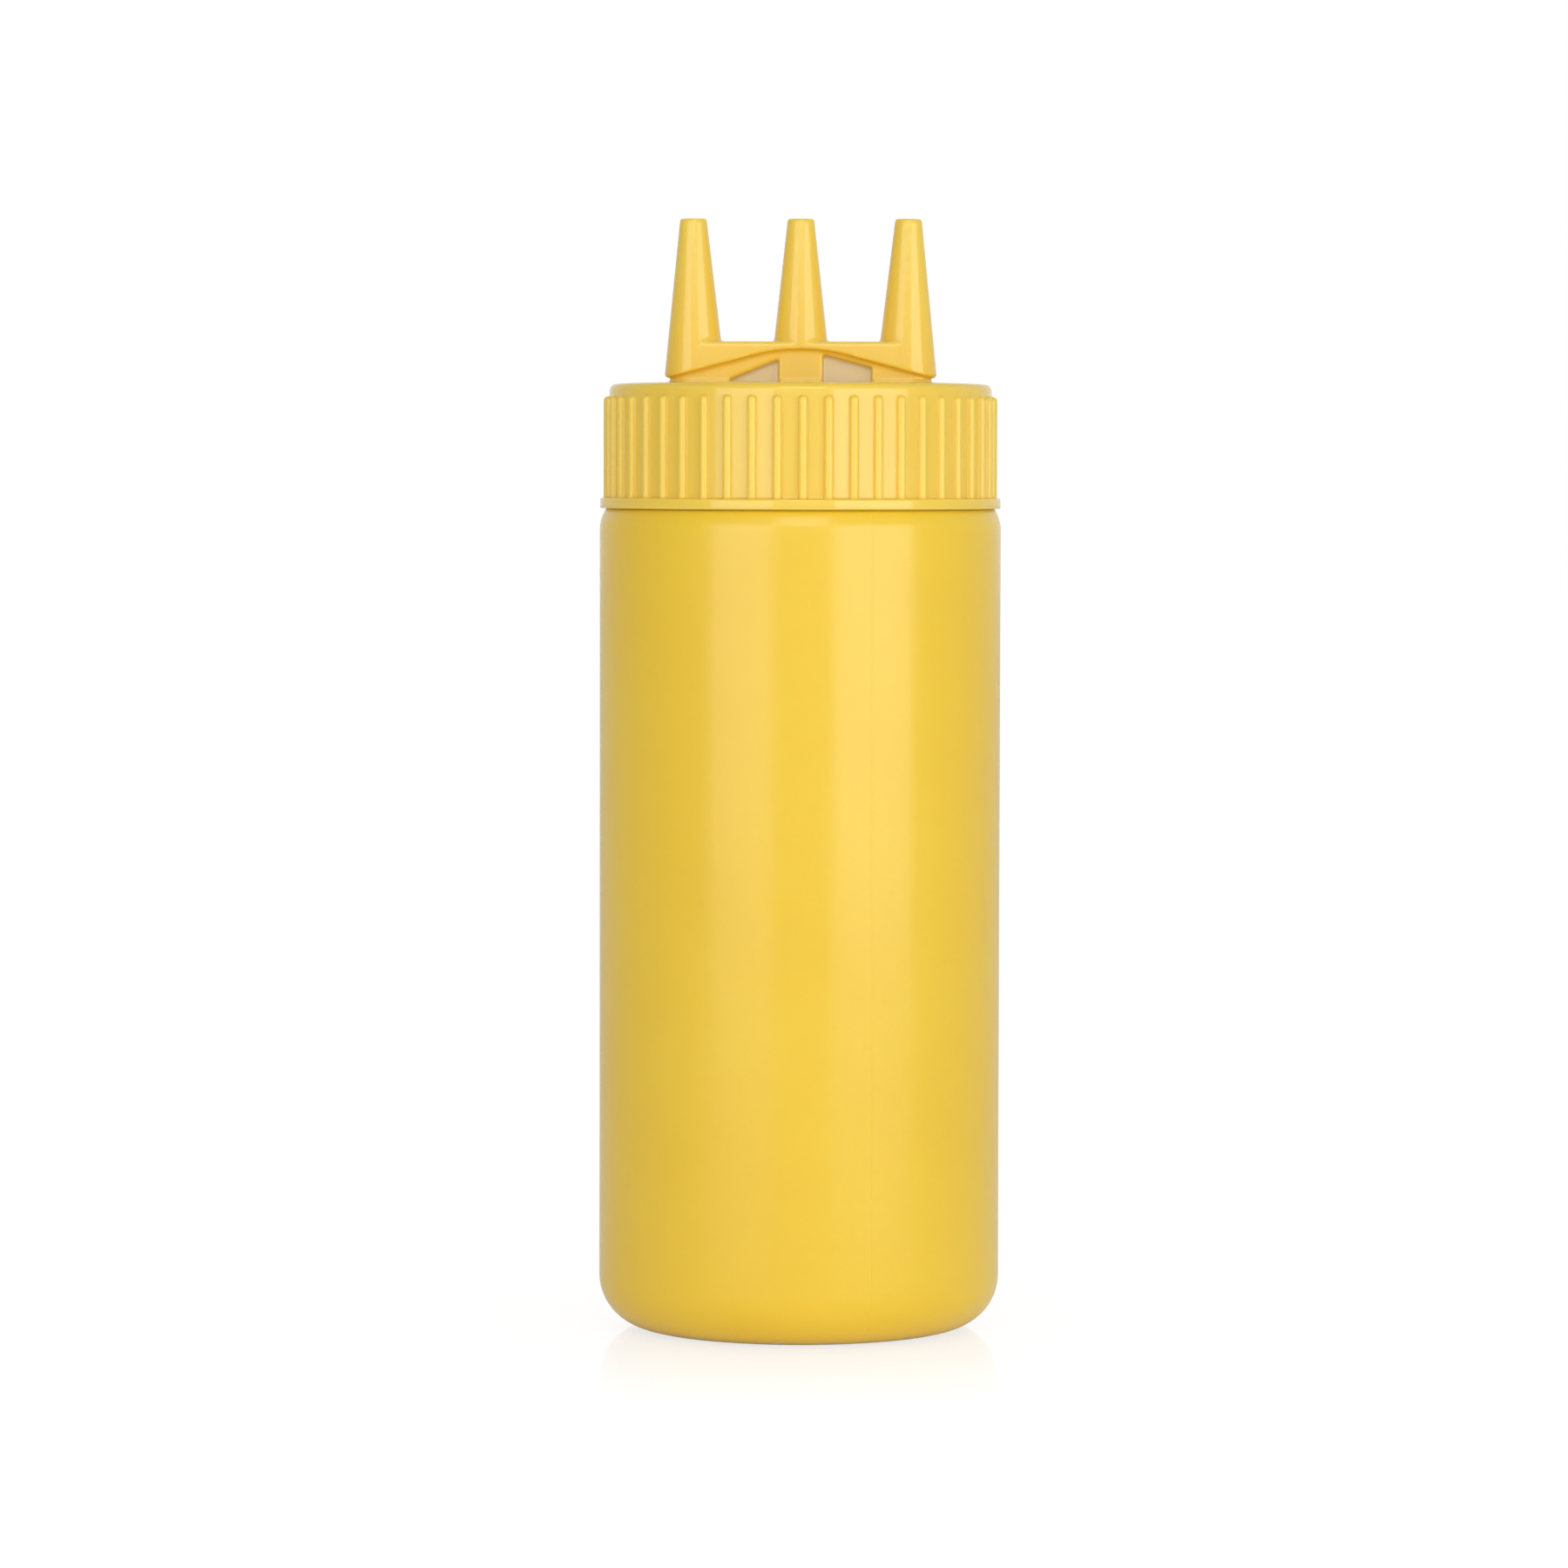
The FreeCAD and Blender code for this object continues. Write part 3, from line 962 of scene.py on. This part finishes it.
def lobe(tree, along, sign):
    """1 straight towards one end of an axis, falling to 0 at a right angle to it."""
    towards = add_node(tree, "ShaderNodeMath", {0: along, 1: sign}, operation="MULTIPLY").outputs[0]
    ahead = add_node(tree, "ShaderNodeMath", {0: towards, 1: 0.0}, operation="MAXIMUM").outputs[0]
    return times(tree, ahead, ahead)


world = bpy.data.worlds.new("studio")
bpy.context.scene.world = world
world.use_nodes = True
tree = world.node_tree
facing = add_node(tree, "ShaderNodeTexCoord").outputs["Generated"]
along = add_node(tree, "ShaderNodeSeparateXYZ", {"Vector": facing}).outputs
strength = room_light
for axis, sign, light in (("Y", 1.0, back_light), ("X", 1.0, right_light), ("Y", -1.0, front_light)):
    strength = scaled(tree, lobe(tree, along[axis], sign), light, strength)
room = tree.nodes["Background"]
room.inputs["Color"].default_value = (1, 1, 1, 1)
tree.links.new(strength, room.inputs["Strength"])
white = add_node(tree, "ShaderNodeBackground", {"Color": (1, 1, 1, 1), "Strength": 1.0})
seen = add_node(tree, "ShaderNodeLightPath").outputs["Is Camera Ray"]
mix = add_node(tree, "ShaderNodeMixShader", {"Fac": seen, 1: room.outputs[0], 2: white.outputs[0]})
tree.links.new(mix.outputs[0], tree.nodes["World Output"].inputs["Surface"])
print("world", len(tree.nodes), "nodes")

# %% [markdown]
# Two tall softboxes stand in front, one each side, and leave the two long reflections on the bottle. A smaller
# one over the camera lights the bar's face, the shoulder and the rounding of the plate. A lamp's power is worked
# out from the brightness of its face, so that its size can change without changing how bright it looks.

# %% Lamps
highest_aim_z = 0.57


def softbox(name, azimuth_deg, distance, width, height, middle_z, brightness):
    """A softbox round from the front by azimuth, which faces the axis at its own height, or lower if it is high."""
    angle = math.radians(azimuth_deg)
    lamp = bpy.data.lights.new(name, "AREA")
    lamp.shape = "RECTANGLE"
    lamp.size = width
    lamp.size_y = height
    lamp.energy = brightness * math.pi * width * height
    item = bpy.data.objects.new(name, lamp)
    item.location = (distance * math.sin(angle), -distance * math.cos(angle), middle_z)
    aim = Vector((0, 0, min(middle_z, highest_aim_z))) - item.location
    item.rotation_euler = aim.to_track_quat("-Z", "Y").to_euler()
    bpy.context.scene.collection.objects.link(item)
    print(name, "%.0f W" % lamp.energy)


softbox("box_right", 42.5, distance=1.0, width=0.87, height=0.45, middle_z=0.235, brightness=1.94)
softbox("box_left", -33.5, distance=1.0, width=0.65, height=0.5, middle_z=0.26, brightness=1.42)
softbox("box_top", 1.5, distance=1.0, width=0.55, height=0.6, middle_z=0.75, brightness=1.45)

# %% [markdown]
# The camera stands over a metre away with a long lens, which keeps the bottle's sides parallel. It looks down a
# little, from the height of the cap.

# %% Camera
camera_place = Vector((-2.75 * MM, -1.15, 0.1532))
lens_mm, sensor_mm = 151.07, 36
pitch_down = math.radians(2.891)
roll = math.radians(0.12)

camera_data = bpy.data.cameras.new("camera")
camera_data.lens = lens_mm
camera_data.sensor_width = sensor_mm
camera = bpy.data.objects.new("camera", camera_data)
camera.location = camera_place
turn = Matrix.Rotation(math.pi / 2 - pitch_down, 3, "X") @ Matrix.Rotation(roll, 3, "Z")
camera.rotation_euler = turn.to_euler()
bpy.context.scene.collection.objects.link(camera)
bpy.context.scene.camera = camera
bpy.context.scene.view_settings.view_transform = "Standard"
print("camera at", tuple(round(value, 4) for value in camera.location))

# %% [markdown]
# Last, the dressed model's box is measured and printed beside the box that the frame had.

# %% Measure the model
visual_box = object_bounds()
for name, box in (("frame", cad_box), ("dressed", visual_box)):
    print(name, [[round(value / MM, 2) for value in corner] for corner in box])
